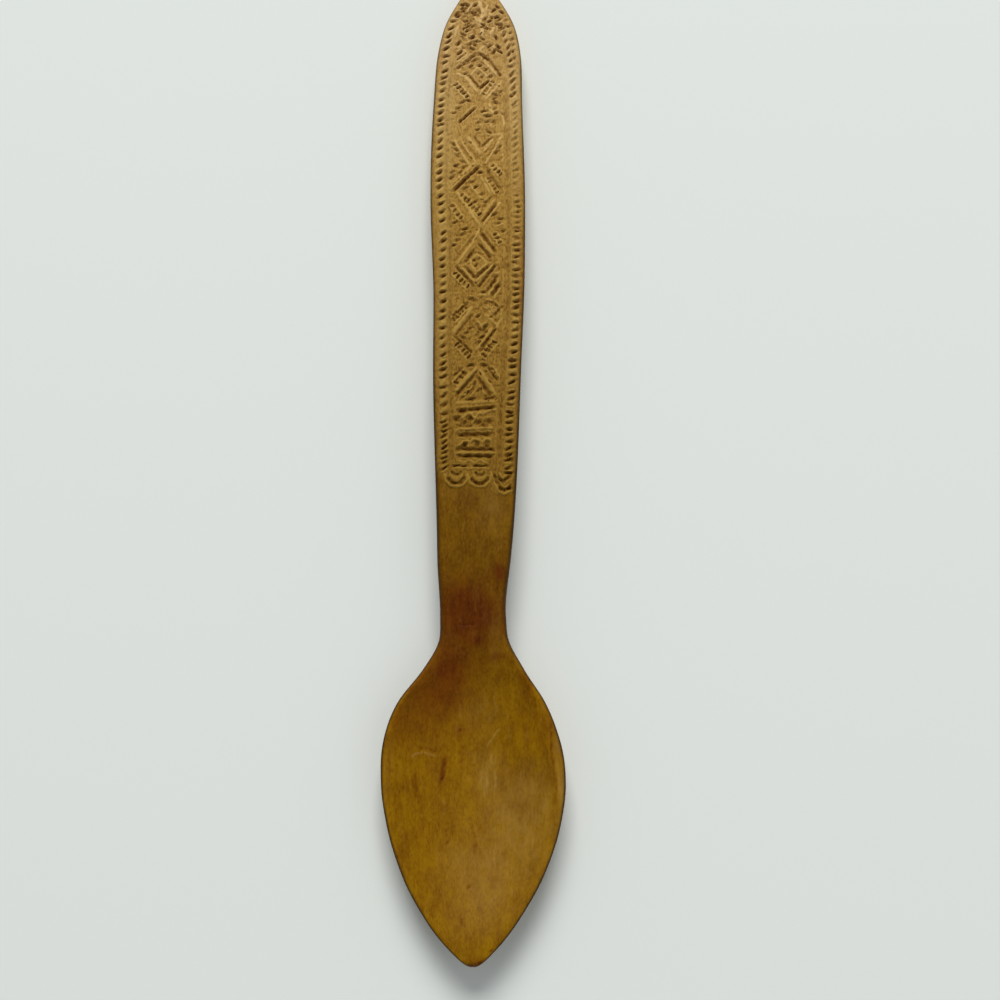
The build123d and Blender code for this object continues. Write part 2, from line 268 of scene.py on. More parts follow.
# %% [markdown]
# Two rows of notches run along the edges of the handle. They were stepped off by eye: the left
# row leans and is wide apart, and the right row is nearly level, closer, and fainter towards the
# end. An array modifier would repeat one notch exactly, so a loop steps along each row instead,
# with a spacing and a lean that vary a little, and leaves a low ridge between two notches. A step
# is its start, end, spacing, length and depth. Places are millimetres across and up from the
# foot, where the carving starts.

# %% Edge notches and the scored lines beside them
LEFT_ROW = [(5, -6.7), (20, -7.0), (36, -7.5), (64, -7.7), (76, -8.8), (97, -8.7), (106, -7.9),
            (114, -7.3), (119, -6.2), (123, -4.8)]
RIGHT_ROW = [(4, 7.2), (20, 7.7), (33, 8.4), (41, 9.1), (58, 9.2), (68, 9.6), (76, 9.2), (96, 9.0),
             (105, 8.4), (112, 7.6), (117, 6.3), (121, 5.0)]
LEFT_STEPS = [(6.4, 17.5, 1.2, 1.5, 0.6), (18.8, 30, 2.15, 1.5, 0.68), (31, 65, 2.15, 1.3, 0.7),
              (66.5, 92, 2.1, 1.5, 0.7), (92.8, 123, 1.95, 1.5, 0.68)]
RIGHT_STEPS = [(5.2, 25, 1.45, 1.6, 0.58), (26.5, 45, 1.8, 1.6, 0.62), (45.9, 64, 1.6, 1.5, 0.54),
               (64.4, 74, 1.4, 1.4, 0.37), (76, 97, 1.7, 1.5, 0.31), (97.6, 108, 2.0, 1.9, 0.48),
               (109, 122, 1.9, 1.3, 0.55)]
OUTER_ROW = [(109.9, 9.1), (113.4, 8.7), (116.8, 8.0), (120.2, 6.9), (122.0, 6.2)]
OUTER_PITCH, OUTER_LEAN = 1.75, 20
LEAN_PLACES, LEFT_LEANS, RIGHT_LEANS = (5, 72, 80, 110), (30, 32, 32, 30), (6, 8, 42, 52)
STEP_SLIP = 0.07
NOTCH_SHARE, NOTCH_MOST = 0.54, 0.85
RIDGE_SHARE, RIDGE_HIGH = 0.45, 0.3


def notches(row, steps, leans):
    made = []
    for start, end, pitch, long, deep in steps:
        for v in np.arange(start, end, pitch):
            v = v + hand.normal(0, STEP_SLIP * pitch)
            lean = np.interp(v, LEAN_PLACES, leans)
            wide = min(NOTCH_MOST, NOTCH_SHARE * pitch)
            made.append(chip(between(row, v), v, lean, length=long, width=wide, deep=deep))
            v = v - pitch / 2
            wide = RIDGE_SHARE * pitch
            made.append(chip(between(row, v), v, lean, length=long, width=wide, deep=-RIDGE_HIGH * deep))
    return made


left_notches = notches(LEFT_ROW, LEFT_STEPS, LEFT_LEANS)
right_notches = notches(RIGHT_ROW, RIGHT_STEPS, RIGHT_LEANS)
for v in np.arange(OUTER_ROW[0][0], OUTER_ROW[-1][0], OUTER_PITCH):
    right_notches.append(chip(between(OUTER_ROW, v), v, OUTER_LEAN, length=1.0))
# A scored line follows a row: how far to its side it runs, its width and its depth.
SCORES = [(LEFT_ROW, 1.6, 1.0, 0.2), (RIGHT_ROW, -2.0, 1.3, 0.24)]
SCORE_FROM, SCORE_TO, SCORE_STEP = 8, 104, 4.0
scored = []
for v in np.arange(SCORE_FROM, SCORE_TO, SCORE_STEP):
    for row, aside, wide, deep in SCORES:
        ends = [(between(row, up) + aside, up) for up in (v, v + SCORE_STEP)]
        scored += line(*ends, width=wide, deep=deep)
print(len(left_notches), "left and", len(right_notches), "right notches and ridges")

# %% [markdown]
# Five lozenges fill the handle. All have the same idea: a frame of grooves and standing ridges,
# with smaller figures inside and ladders outside. A ladder is a narrow band with a row of chips
# between two rails. No two lozenges are alike, so a repeated motif would look like a print. Each
# is set out by itself from chips, lines, ridges and ladders. A chip's lean is in degrees.
# The first lozenge, nearest the end, holds a small square stood on its corner.

# %% First lozenge
def chips(lean, *places, **size):
    return [chip(x, v, lean, **size) for x, v in places]


def gather(*groups):
    return [cut for group in groups for cut in group]


def ridge(*points, width=0.8, high=0.2):
    return line(*points, width=width, deep=-high)


RAIL_WIDE = 0.6
RUNG_LONG, RUNG_WIDE = 0.9, 0.54


def ladder(start, end, rungs, gap=1.4, deep=0.5):
    start, run = np.array(start), np.subtract(end, start)
    side = np.array([-run[1], run[0]]) / np.hypot(*run) * gap / 2
    rails = ridge(start + side, start + run + side, width=RAIL_WIDE)
    rails += ridge(start - side, start + run - side, width=RAIL_WIDE)
    places = [start + run * (n + 0.5) / rungs for n in range(rungs)]
    lean = math.degrees(math.atan2(side[1], side[0]))
    wide = RUNG_WIDE * np.hypot(*run) / rungs
    return rails + chips(lean, *places, length=RUNG_LONG * gap, width=wide, deep=deep)


first = gather(
    line((-0.4, 111.0), (-4.8, 106.9), width=0.9, deep=0.5),
    line((-3.2, 110.8), (-4.9, 109.3), width=0.6), line((0.4, 111.2), (2.9, 109.2), width=1.0, deep=0.6),
    line((2.9, 109.2), (5.7, 104.9), width=0.6),
    ridge((-4.5, 113.2), (-2.2, 111.1), (-5.0, 108.7), high=0.16), ridge((0.5, 112.0), (2.6, 114.2)),
    ridge((1.0, 109.6), (4.6, 105.2), high=0.16),
    ridge((-1.7, 105.0), (0, 107.2), (2.5, 104.6), width=0.6),
    line((-1.8, 104.9), (0.4, 101.7), width=0.7, deep=0.5), line((0.5, 101.4), (2.9, 103.6), deep=0.55),
    chips(40, (0.1, 105.7), (1.2, 104.5), length=0.9), ridge((0.4, 104.9), (0.8, 104.3), width=0.7),
    ridge((-4.9, 105.4), (-2.9, 104.6), (0.1, 100.3)), ladder((-5.5, 102.9), (-2.1, 98.9), 5, gap=1.5),
    ridge((5.6, 103.0), (2.0, 98.4), width=0.9), ladder((3.9, 103.6), (1.0, 99.4), 5, gap=1.2, deep=0.4),
    chips(30, (-1.4, 107.7), (-0.7, 109.2), (0.7, 108), (2.0, 106.6), (-3, 105.5), (-2.4, 108.4),
          (3.2, 104.8)),
    chips(15, (5.4, 100.5), (4.3, 99.8), (3.9, 98.7), (4.2, 97.5), length=1.1),
    line((-4.2, 97.2), (-2.8, 98.3), (-1.4, 97.8), width=0.7))
print("first lozenge:", len(first), "cuts")

# %% [markdown]
# The second lozenge is open at the top and closes below in several parallel V lines, pale ridges
# with faint grooves between them. The lines are written out one by one because they aren't quite
# parallel.

# %% Second lozenge
second = gather(
    line((-0.5, 96.2), (-4.4, 92.1), width=0.75, deep=0.6),
    chips(25, (-4.4, 96.1), (-5.6, 94.7), (4.0, 96), (4.8, 94.6), (2.4, 92.3), (3.8, 92.4), (0.5, 92.2)),
    chips(12, (1.5, 95.1), (2.6, 93.8), length=1.6),
    chips(-35, (2.8, 89.6)), chips(30, (0.3, 90.3)), ridge((2.7, 97.2), (3.9, 94.4)),
    ridge((6.0, 94.4), (6.5, 91.2)), ridge((2.9, 91.8), (3.5, 91.0)),
    ridge((3.1, 88.7), (5.8, 89.1), (6.0, 88.0), high=0.14), ridge((1.2, 94.4), (2.4, 94.5), width=0.6),
    line((-0.7, 88.4), (1.0, 85.6), (3.4, 88.1), width=0.7, deep=0.4), ridge((-2.1, 88.3), (0.9, 83.7)),
    ridge((1.6, 84.4), (3.8, 87.7)), line((-3.0, 87.6), (0.2, 82.4), deep=0.22),
    ridge((-3.8, 87.2), (-0.2, 81.4), high=0.16), line((-4.4, 86.8), (-1.2, 81.6), deep=0.22),
    line((4.7, 86.5), (2.5, 82.9), width=0.7, deep=0.25), ridge((-5.3, 87.2), (-1.9, 80.9), high=0.24),
    ridge((5.8, 88.2), (1.9, 81.0), high=0.26),
    chips(-30, (-5.5, 86.6), (-5.1, 85.0), (-4.5, 83.4), (-3.2, 81.5)),
    chips(45, (5.4, 85.5), (4.7, 84.3)), ridge((6.4, 84.4), (5.8, 81.8), width=0.6, high=0.14))
print("second lozenge:", len(second), "cuts")

# %% [markdown]
# The third lozenge has the deepest single groove of the handle, at its upper left, and a woven
# look inside, from short ridges that cross rows of chips.

# %% Third lozenge
third = gather(
    line((0.5, 80.4), (-2.4, 77.4), width=0.75, deep=0.6),
    line((-2.2, 77.6), (-5.3, 74.2), width=1.0, deep=0.7),
    line((2.1, 80.0), (5.6, 74.2), width=0.9, deep=0.35), ridge((-0.6, 81.4), (-5.6, 76.2), high=0.14),
    ladder((3.4, 81.2), (6.0, 77.8), 4, gap=1.3), ladder((2.6, 77.9), (4.9, 73.3), 5, deep=0.4),
    ladder((-3.7, 73.3), (1.0, 67.6), 7), ridge((-4.6, 73.6), (0.6, 65.4), width=0.9, high=0.26),
    ridge((5.5, 71.0), (1.3, 64.9), high=0.24), line((4.6, 70.7), (1.2, 65.9), deep=0.5),
    ridge((4.2, 71.8), (1.5, 68.0), high=0.16), line((3.4, 72.5), (1.5, 69.8), width=0.7, deep=0.4),
    chips(5, (0.9, 78.9)),
    chips(35, (-1.2, 76.6), (-2.5, 75), (-0.1, 75), (1.0, 73), (-0.5, 71.4), (2.2, 71.2), (0.4, 69.5)),
    ridge((1.0, 77.6), (3.2, 73.4), high=0.16), ridge((-1.7, 75.9), (1.7, 71.3), high=0.16),
    chips(30, (-4.7, 80.6), (-3.0, 80.1), (-5.7, 79), (-3.8, 79.1), (-5.8, 77.5)),
    ladder((-6.0, 70.8), (-3.4, 66.4), 4, gap=1.3),
    chips(15, (5.7, 66.8), (5.0, 65.6), (-4.8, 66), length=1.4),
    ridge((4.2, 64.8), (6.2, 65.6), width=0.7), chips(30, (4.2, 68.2)))
print("third lozenge:", len(third), "cuts")

# %% [markdown]
# The fourth lozenge is the clearest: three nested squares stood on a corner. Its lower sides are
# doubled on the right by two leaf-shaped cuts.

# %% Fourth lozenge
fourth = gather(
    line((1.1, 63.2), (4.4, 58.4), width=0.9, deep=0.5), line((0.6, 60.5), (3.3, 56.9), deep=0.5),
    line((-0.5, 62.4), (-3.9, 57.7), deep=0.3), line((-0.4, 59.1), (-2.7, 55.7), width=0.7),
    ridge((0.9, 61.8), (4.2, 57.6)), ridge((0.8, 64.3), (-1.0, 60.6), (-4.5, 55.3)),
    ridge((-1.6, 55.4), (0.2, 57.9), (2.6, 55.4), (0.2, 53.3), (-1.6, 55.4), width=0.7),
    line((-2.5, 54.6), (-0.2, 51.9), (2.9, 54.9), deep=0.5),
    ridge((-3.3, 54.4), (-0.2, 50.8), (3.8, 55.0), high=0.22),
    line((-4.6, 54.7), (-0.5, 49.8), width=0.7), line((0.5, 49.6), (4.4, 55.0), deep=0.48),
    ridge((0.6, 47.7), (2.7, 47.5), (5.2, 51.4)), line((1.0, 48.2), (2.4, 48.5), (4.9, 52.4), width=0.7),
    line((3.5, 47.3), (5.4, 50.5), width=0.9, deep=0.5), ridge((4.2, 47.0), (5.8, 49.6), width=0.6),
    ridge((4.2, 53.0), (5.3, 53.2), width=0.7),
    chips(30, (0.5, 56.6), (0, 54.9), (-0.5, 56.2), length=0.8),
    chips(35, (2.2, 49.8), (3.0, 50.8), (3.8, 52.0), length=0.8, deep=0.3),
    ladder((-5.2, 53.4), (-1.6, 49.2), 5, gap=1.3), ladder((4.0, 63.4), (5.6, 60.2), 3, gap=1.2),
    chips(10, (-2.7, 64.4), (-3.5, 62.7), length=1.6), chips(20, (-4.6, 61.5), (-5.3, 60), (6.1, 63.8)))
print("fourth lozenge:", len(fourth), "cuts")

# %% [markdown]
# The fifth lozenge stands on a strong X. To its upper right is a small rosette, a ring of chips
# with short rays that point at one centre, so a loop over angles makes it.

# %% Fifth lozenge
fifth = gather(
    line((-1.8, 46.8), (-0.2, 46.2), width=1.0, deep=0.55), line((-2.0, 45.6), (-5.3, 42.4), width=0.7),
    ladder((-2.3, 44.8), (-5.3, 41.2), 5, gap=1.4, deep=0.5),
    ridge((-1.0, 44.4), (-5.0, 38.6), width=0.9, high=0.28),
    line((-0.8, 42.9), (-4.6, 37.7), width=0.7, deep=0.35))
ROSETTE_X, ROSETTE_V = 3.0, 44.0
ROSETTE_WIDE, ROSETTE_HIGH, RAY = 2.0, 1.7, (0.4, 1.4)
for turn in range(150, -80, -38):
    out_x, out_v = math.cos(math.radians(turn)), math.sin(math.radians(turn))
    place = (ROSETTE_X + ROSETTE_WIDE * out_x, ROSETTE_V + ROSETTE_HIGH * out_v)
    fifth += chips(turn + 90, place, length=1.1, deep=0.42)
    fifth += ridge(*[(ROSETTE_X + r * out_x, ROSETTE_V + r * out_v) for r in RAY], width=0.5)
fifth += gather(
    ridge((2.0, 46.6), (4.4, 46.0), (5.6, 44.4), (5.7, 42.4), width=0.6, high=0.16),
    ridge((5.8, 42.0), (4.4, 39.2), high=0.16), ridge((2.2, 42.8), (5.3, 39.6), high=0.16),
    line((-4.9, 37.6), (-0.9, 33.6), width=0.7), ladder((-4.5, 36.0), (-1.2, 32.2), 5, gap=1.5),
    line((4.5, 39.4), (1.0, 34.0), deep=0.5), ridge((3.6, 39.4), (0.2, 34.2), width=0.9, high=0.24),
    ladder((4.6, 36.6), (1.5, 32.2), 4, gap=1.5, deep=0.6), chips(-35, (-2.9, 37.0)),
    line((0.1, 40.2), (1.3, 38.7), (2.6, 40.3), width=0.7), ridge((0.2, 41.3), (1.4, 39.9), (2.4, 41.1)),
    chips(30, (-2.1, 38.3), (-1.0, 39.4), (0.5, 42.2), (0.5, 35.9), (1.4, 37.2)),
    chips(40, (-0.3, 41.2), (2.6, 38.4), (-2.9, 36.4), (0.2, 37.8), (-1.2, 37.0), length=0.9, deep=0.35))
lozenges = first + second + third + fourth + fifth
print("all lozenges:", len(lozenges), "cuts")

# %% [markdown]
# Above the lozenges the narrowing end is filled with loose chips, a few hatched strokes, one pale,
# wavy spine and shorter ridges, in no clear order. The knife also left many shallow nicks all over
# the carved face. Those that can be told apart are listed one by one, and the rest are scattered
# with a seeded random generator, so that each run gives the same spoon.

# %% Loose chips at the end, and nicks
END_DEEP = 0.62
SCATTERED, NICKS = 40, 620
LEFT_CLEAR, RIGHT_CLEAR = 2.0, 2.4
rising = [(-4.9, 121.8), (-3.6, 123.3), (-0.6, 124.8), (3.9, 123.2), (4.6, 121.3), (2.9, 120.3),
          (-2.4, 117.5), (-0.9, 118.7), (-1.2, 115.4), (-0.4, 114.4), (-4.6, 114), (-2.1, 113.8)]
falling = [(-2.6, 124.8), (4.8, 124.2), (5.9, 122.8), (0.9, 119.3), (1.9, 118.1), (-3.6, 116.5),
           (1.0, 115.3), (4.3, 115.6), (5.0, 113), (5.3, 111.6), (-1.2, 112.4), (-3.2, 120.3)]
loose = gather(
    chips(30, *rising, deep=END_DEEP), chips(-35, *falling, deep=END_DEEP),
    chips(40, (3.0, 113.2), (3.8, 111.6), (5.9, 118.2), (-4.3, 111.3), length=1.6, deep=END_DEEP),
    chips(-10, (-0.9, 122.8), (5.2, 119.4), (-3.6, 124.9), length=1.7, deep=END_DEEP),
    line((-3.6, 117.9), (-1.4, 119.5), width=0.6), line((-3.2, 118.9), (-1.8, 120.0), width=0.6))
spine = [(0.5, 125.6), (0.8, 124), (1.4, 122), (0.5, 120.4), (1.2, 118.4), (1.1, 116.4)]
loose += ridge(*spine, width=1.3, high=0.3)
END_RIDGES = [(0.7, (-2.8, 122.6), (-1.2, 125.4)), (1.0, (-3.9, 115.9), (-3.3, 115)),
              (0.7, (3.4, 113.4), (4.4, 112.4)), (0.9, (4.7, 120.9), (5.2, 120.3)),
              (0.8, (-5.6, 115.8), (-4.8, 118.6)), (0.7, (-2.0, 120.4), (-3.1, 118.2)),
              (0.9, (-0.8, 121.6), (-0.1, 119.8)), (1.2, (3.2, 116.2), (3.8, 118.8)),
              (0.8, (2.6, 122.4), (3.6, 121.6)), (0.7, (-1.8, 116.4), (-0.3, 116.0)),
              (0.7, (-4.9, 112.4), (-4.0, 113.3)), (0.8, (2.3, 124.8), (2.0, 122.6))]
for wide, start, end in END_RIDGES:
    loose += ridge(start, end, width=wide)
for _ in range(SCATTERED):
    x, v, lean = hand.uniform(-4, 4), hand.uniform(112, 125), hand.choice([35, -35])
    loose.append(chip(x, v, lean, length=0.9, deep=hand.uniform(0.25, 0.55)))
nicks = []
for _ in range(NICKS):
    v = hand.uniform(22, 125)
    x = hand.uniform(between(LEFT_ROW, v) + LEFT_CLEAR, between(RIGHT_ROW, v) - RIGHT_CLEAR)
    long, deep = hand.uniform(0.4, 1.0), hand.uniform(0.1, 0.34)
    nicks.append(chip(x, v, hand.choice([38, -38, 5]), length=long, width=0.6, deep=deep))
print(len(loose), "loose chips and", len(nicks), "nicks")

# %% [markdown]
# Near the foot stand a gable, level bars, and zigzags between them. The bars are single deep
# strokes of a wide tool, each with a bright ridge beside it, and a zigzag is one ridge that the
# knife left standing between small stabs from above and below.

# %% Gable, bars and zigzags
gable = gather(
    ridge((-4.6, 24.3), (0.3, 29.9), width=0.8, high=0.26), line((-4.3, 23.2), (-0.5, 27.9), width=0.9),
    ridge((0.9, 29.4), (4.4, 23.7), width=0.9, high=0.28), line((0.2, 28.0), (3.4, 23.2), width=0.9),
    line((2.6, 30.2), (4.8, 26.8), width=0.7), ladder((3.4, 30.0), (5.2, 27.0), 3, gap=1.0, deep=0.3),
    ladder((-2.0, 29.1), (-4.8, 25.8), 3, gap=1.5), line((-4.9, 27.9), (-3.0, 29.9), width=0.6),
    line((-2.0, 30.4), (-0.3, 30.5), deep=0.5), line((1.0, 30.6), (2.7, 30.3), deep=0.5),
    chips(60, (0.6, 24.4), (-0.3, 25.9), (1.5, 24.9), (-2.9, 22.9), (-1.6, 24.0), length=1.0),
    ridge((-2.9, 22.9), (-0.6, 25.6), width=0.6), ridge((-1.5, 22.8), (0.2, 24.8), width=0.6),
    ridge((0.9, 25.6), (2.1, 23.6), width=0.6), line((-2.2, 22.3), (0.1, 22.6), width=0.7),
    line((2.0, 22.5), (4.3, 22.8), width=0.7), ridge((-4.6, 21.5), (4.4, 22.0), width=0.9, high=0.16))
bars = gather(
    line((-3.8, 19.6), (-1.9, 19.8), width=1.2, deep=0.6),
    line((-1.9, 19.9), (4.3, 20.5), width=0.9, deep=0.52),
    ridge((-4.2, 15.2), (3.8, 15.7), width=0.7, high=0.36),
    line((-4.1, 14.0), (3.8, 14.2), width=1.0, deep=0.46),
    line((-4.0, 10.8), (4.0, 10.7), width=0.9, deep=0.5), ridge((-4.2, 9.9), (4.5, 9.9), high=0.28),
    line((-3.8, 9.2), (3.7, 9.1), width=0.9, deep=0.48),
    line((-4.1, 16.2), (-0.6, 16.1), width=0.6, deep=0.3), line((-5.0, 6.9), (-1.8, 6.9), width=0.6),
    line((-0.5, 6.9), (2.9, 6.9), width=0.6), ridge((-5.0, 6.4), (3.2, 6.4), width=0.6))
upper = [(-3.4, 17.7), (-1.1, 19.3), (-0.2, 17.6), (0.8, 19.4), (1.7, 18.8), (2.4, 19.4), (4.4, 20)]
lower = [(-3.8, 11.4), (-2.6, 12.6), (-1.2, 12.4), (-0.3, 13.2), (1.6, 12.4), (2.4, 13.2), (3.4, 12.7)]
zigzags = gather(
    ridge(*upper, width=0.7, high=0.4), ridge(*lower, width=0.7, high=0.4),
    ridge((-3.8, 8.3), (-2.6, 7.6), (-1.4, 8.3), (-0.2, 7.6), (1.2, 8.3), (2.4, 7.6), width=0.6))
stabs = [(-4.1, 17.9), (-1.1, 17.9), (-2.5, 16.9), (0.7, 16.9), (3.0, 17.1), (1.8, 16.4)]
zigzags += chips(15, *stabs, width=1.3, deep=0.6)
zigzags += chips(80, (-2.4, 11.7), (0.3, 11.8), (2.6, 11.6), length=1.0, width=1.4, deep=0.68)
print("gable, bars and zigzags:", len(gable + bars + zigzags), "cuts")

# %% [markdown]
# Three scallops end the carving. The left two are double arcs made with a gouge, so each is a
# set of arcs about one centre. The right one was squeezed in as nested angles. The oiled finish
# begins right under them, so their outer size is kept for that.

# %% Scallops
def arc(x, v, radius, start, end):
    angles = np.radians(np.linspace(start, end, 13))
    return [(x + radius * math.cos(a), v + radius * math.sin(a)) for a in angles]


ROUND_SCALLOPS = [(-4.1, 4.8), (1.0, 4.7)]
scallops = []
for x, v in ROUND_SCALLOPS:
    scallops += ridge(*arc(x, v, 2.55, 175, 365), width=0.7, high=0.28)
    scallops += line(*arc(x, v, 1.85, 205, 340), width=0.9, deep=0.75)
    scallops += ridge(*arc(x, v + 0.6, 1.3, 200, 340), width=0.7, high=0.28)
    scallops += line(*arc(x, v + 1.3, 1.15, 210, 330), width=0.7, deep=0.6)
scallops += gather(
    ridge((3.3, 5.6), (4.5, 3.5), width=0.6), line((4.0, 5.0), (5.1, 2.7), deep=0.36),
    line((5.2, 2.3), (6.0, 1.4), (6.8, 1.4), (7.9, 2.3), width=0.9, deep=0.68),
    ridge((4.2, 3.2), (5.2, 1.2), (6.2, 0.5), (7.8, 1.2), width=0.7, high=0.25),
    line((5.1, 4.3), (6.0, 3.2), (7.9, 4.9), deep=0.5),
    ridge((5.2, 5.3), (6.1, 4.2), (7.9, 5.8), width=0.6))
FINISH_ENDS = [(*place, 2.95) for place in ROUND_SCALLOPS] + [(6.1, 3.4, 3.3)]
carving = nicks + left_notches + right_notches + scored + lozenges + loose
carving += gable + bars + zigzags + scallops
print("cuts on the handle:", len(carving))

# %% [markdown]
# The skin of a piece: rings joined by four-sided faces and closed with a flat fan at each end.
# Sharp corners, as at the fans, are marked sharp, so they don't bend the light where two pieces
# meet. What the finish needs to know at each point, such as how deep a cut is or how near the
# edge, is stored on the mesh as named attributes that the materials read.

# %% Making a closed skin
SHARP_DEGREES = 75


def skin(name, b, x, z, marks):
    count, around = x.shape
    y = np.repeat((b + TIP_Y)[:, None], around, 1)
    ends = [(x[i].mean(), y[i, 0], z[i].mean()) for i in (0, -1)]
    points = np.vstack([np.stack([x, y, z], -1).reshape(-1, 3), ends]) * MM
    i, j = np.meshgrid(np.arange(count - 1), np.arange(around), indexing="ij")
    after = (j + 1) % around
    corners = [i * around + j, i * around + after, (i + 1) * around + after, (i + 1) * around + j]
    quads = np.stack(corners, -1).reshape(-1, 4)
    j = np.arange(around)
    after, last = (j + 1) % around, (count - 1) * around
    near = np.stack([np.full(around, count * around), after, j], -1)
    far = np.stack([np.full(around, count * around + 1), last + j, last + after], -1)
    mesh = bpy.data.meshes.new(name)
    mesh.from_pydata(points.tolist(), [], quads.tolist() + near.tolist() + far.tolist())
    mesh.polygons.foreach_set("use_smooth", np.ones(len(mesh.polygons), bool))
    mesh.set_sharp_from_angle(angle=math.radians(SHARP_DEGREES))
    for mark, values in marks.items():
        layer = mesh.attributes.new(mark, "FLOAT", "POINT")
        ends = [values[0].mean(), values[-1].mean()]
        layer.data.foreach_set("value", np.concatenate([values.ravel(), ends]).astype(np.float32))
    piece = bpy.data.objects.new(name, mesh)
    bpy.context.scene.collection.objects.link(piece)
    print(name, "faces:", len(mesh.polygons), "closed rings:", count)
    return piece


# %% [markdown]
# The marks. The pale, dry wood ends under the scallops, and below them the oiled wood begins,
# sharply on the face and softly down the sides. The upper edges of handle and bowl are darker,
# partly from hands and dirt and partly as painted shade on the rounded edges. Two bands along
# the handle's edges and the lower right of the bowl get a painted highlight. The waist and the
# upper left of the bowl have taken up more oil and gone red brown. An image could be painted
# for this. Soft spots at given places are enough, and the material breaks them up.
# A spot is its centre, its reach across and along, and its strength.

# %% Where the finish changes
STAINS = [(-0.8, 71, 8.5, 6, 1.0), (-5, 61, 6, 6, 0.8), (-7, 54, 6, 5, 0.55), (-12, 49, 6, 6, 0.35),
          (-3, 76, 6, 5, 0.5), (5.5, 80.5, 1.6, 2.2, 1.0), (0.4, 65.9, 1.2, 0.8, 0.6),
          (5.2, 62.6, 1.8, 1, 0.7), (-6, 59.7, 1.6, 1.2, 0.5), (-3, 47, 1.6, 1, 0.4), (1, 1, 2, 1, 0.6),
          (-12, 57, 2.5, 4, 0.3), (-16, 48.5, 2, 3.5, 0.35), (11.5, 57, 1.5, 5, 0.35),
          (14.5, 48, 2.5, 3.5, 0.25),
          (-9.4, 138, 1.2, 28, 0.8), (10.3, 138, 1.1, 28, 0.9), (-8.2, 207, 1, 5, 0.8)]
# Painted highlight: spots painted paler where the light falls, mostly on the lower right of the bowl and on
# two bands along the handle's edges.
PAINTED_HIGHLIGHTS = [(9, 27, 7, 9, 1.0), (4, 15, 6, 7, 0.6), (12, 33, 4, 6, 0.8), (3, 38, 3, 5, 0.7),
          (17.6, 45, 0.8, 5, 0.8), (18.4, 36, 0.8, 6, 0.8), (-18, 38, 0.6, 6, 0.3), (-3, 20, 5, 5, 0.4),
          (4.5, 66, 1.2, 6, 0.3), (4, 94, 3, 5, 0.5), (1.5, 51, 4, 5, 0.4),
          (-8, 182, 2.6, 34, 1.0), (-8.2, 135, 2.2, 22, 0.75), (9.2, 190, 2.2, 30, 0.9),
          (9, 135, 1.8, 20, 0.4)]
EDGE_REACH = [(0, 1.2), (60, 1.1), (WAIST, 1.3), (FOOT, 1.5), (120, 1.3), (140, 1.0)]
FACE_DEEP, EDGE_DARK_DEEP, EDGE_DARK_FADE = 1.0, 1.6, 6.0
OIL_TOP, OIL_ON_FACE, OIL_ON_SIDE, OIL_BLUR = 5.2, 0.2, 0.08, 0.5
FULL_CUT, MOST_CUT = 0.5, 1.2


def spots(x, b, places):
    made = np.zeros_like(x)
    for across, along, wide, long, strength in places:
        made += strength * np.exp(-(((x - across) / wide) ** 2) - ((b[:, None] - along) / long) ** 2)
    return clamp(made)


def finish_marks(b, x, z, depth):
    v = (b - FOOT)[:, None] * np.ones_like(x)
    below = np.minimum(face_height(b), z.max(1))[:, None] - z
    half, sway = smooth(HALF_WIDTH, b)[:, None], smooth(SWAY, b)[:, None]
    # Darker upper edges: partly dirt from hands, partly painted shade on the rounded edges.
    near_outline = clamp(1 - (half - np.abs(x - sway)) / between(EDGE_REACH, b)[:, None]) ** 2
    near_face_top = clamp(EDGE_DARK_DEEP - below) * clamp((LENGTH - b) / EDGE_DARK_FADE)[:, None]
    carved = np.where(below < FACE_DEEP, OIL_ON_FACE, OIL_ON_SIDE) * (v - OIL_TOP)
    for across, up, radius in FINISH_ENDS:
        scallop = radius - np.hypot(x - across, v - up)
        carved = np.where(below < FACE_DEEP, np.maximum(carved, scallop), carved)
    return {"oiled": clamp(0.5 - carved / OIL_BLUR),
            "cut": np.clip(depth / FULL_CUT, -1, MOST_CUT),
            "edge": near_outline * near_face_top,
            "stain": spots(x, b, STAINS),
            "painted_highlight": spots(x, b, PAINTED_HIGHLIGHTS)}


print(len(STAINS), "stains and", len(PAINTED_HIGHLIGHTS), "blooms")

# %% [markdown]
# The handle. Its face gets the whole carving, and a slow ripple of a tenth of a millimetre or
# less, because it was pared flat with a knife and not planed. A modelled slab with a normal map
# would be lighter, but the cuts would vanish from the side. The rows lie 0.2 mm apart, which is
# about as fine as the picture shows.

# %% Handle
END_START, END_GAP = 225.5, 0.01
HANDLE_ROWS, END_ROWS = 608, 24
FOOT_FADE, END_FADE = 3, 2
PARED_SIZE, PARED_HIGH = 9, 0.06
row_places = np.linspace(FOOT, END_START, HANDLE_ROWS)
end_turn = np.sin(np.linspace(0, np.pi / 2, END_ROWS))[1:]
end_places = END_START + (LENGTH - END_GAP - END_START) * end_turn
b = np.concatenate([row_places, end_places])
x, z = rings(b)
face = slice(0, ACROSS)
depth = np.zeros_like(x)
along = b[:, None] * np.ones(ACROSS)
depth[:, face] = knife(x[:, face], along - FOOT, carving)
away_from_foot = clamp((b - FOOT) / FOOT_FADE)[:, None]
fade = clamp((LENGTH - b) / END_FADE)[:, None]
pared = ripple(x[:, face], along, PARED_SIZE, PARED_HIGH) * away_from_foot
z[:, face] -= (depth[:, face] - pared) * fade
handle = skin("carved_handle", b, x, z, finish_marks(b, x, z, depth))

# %% [markdown]
# The neck is plain and smooth: rings with a slightly uneven face, level with the handle at one
# end and with the bowl at the other. The unevenness fades out at both ends, so the neighbours
# meet it exactly.

